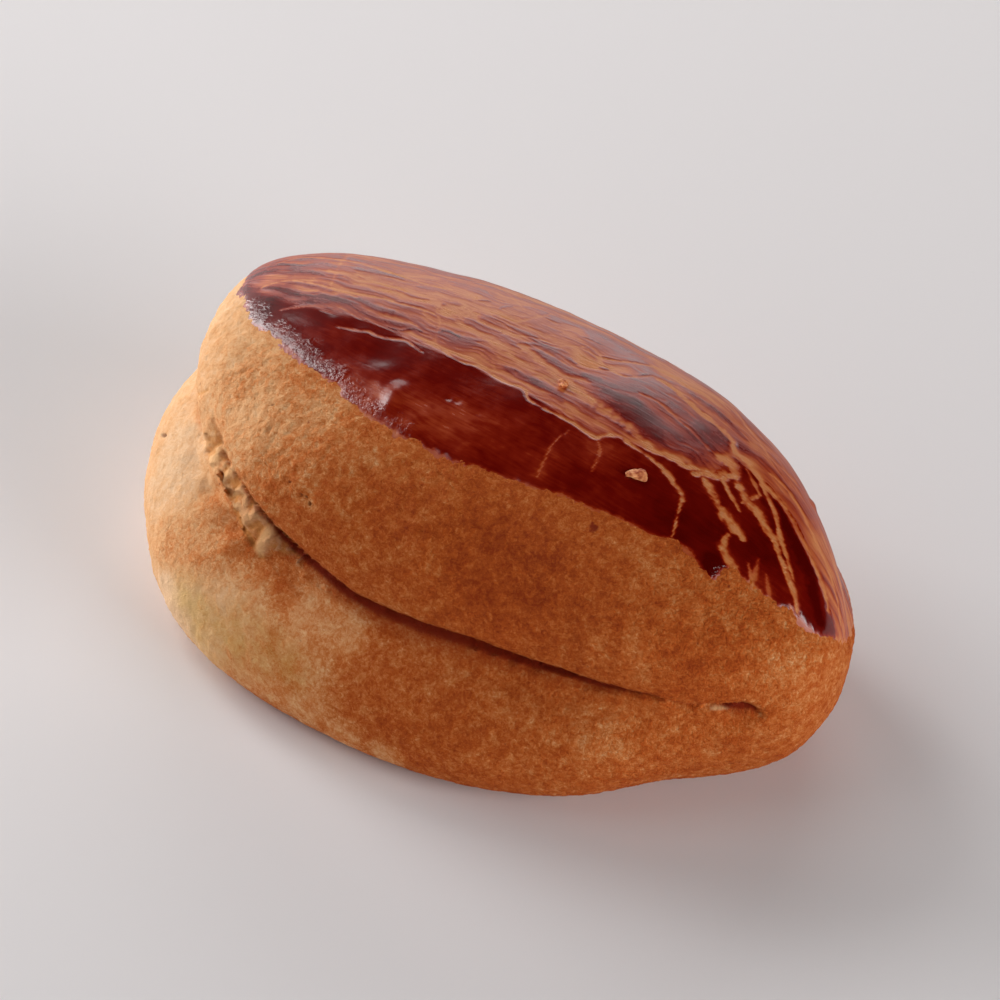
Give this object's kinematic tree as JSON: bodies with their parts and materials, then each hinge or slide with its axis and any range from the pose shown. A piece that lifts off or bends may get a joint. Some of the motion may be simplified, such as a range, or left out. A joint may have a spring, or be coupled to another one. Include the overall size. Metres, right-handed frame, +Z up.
{
  "type": "cheese pogaca",
  "caption": "Folded yeast bun with an overhanging upper lip, an open seam along the front and a long domed top.",
  "frame": {"origin": "on the table under the middle of the bun's box", "axes": "+X along the long axis to the right end, +Y to the folded back, +Z up"},
  "size_m": [0.1144, 0.068, 0.044],
  "materials": {
    "crust": "matte baked yeast crust, golden tan to orange brown, finely pored",
    "glaze": "glossy dark red-brown baked egg wash, brushed on, crackled",
    "crumb": "pale torn dough and crumbs, matte"
  },
  "bodies": {
    "root": {"pogaca": "crust"}
  },
  "joints": []
}
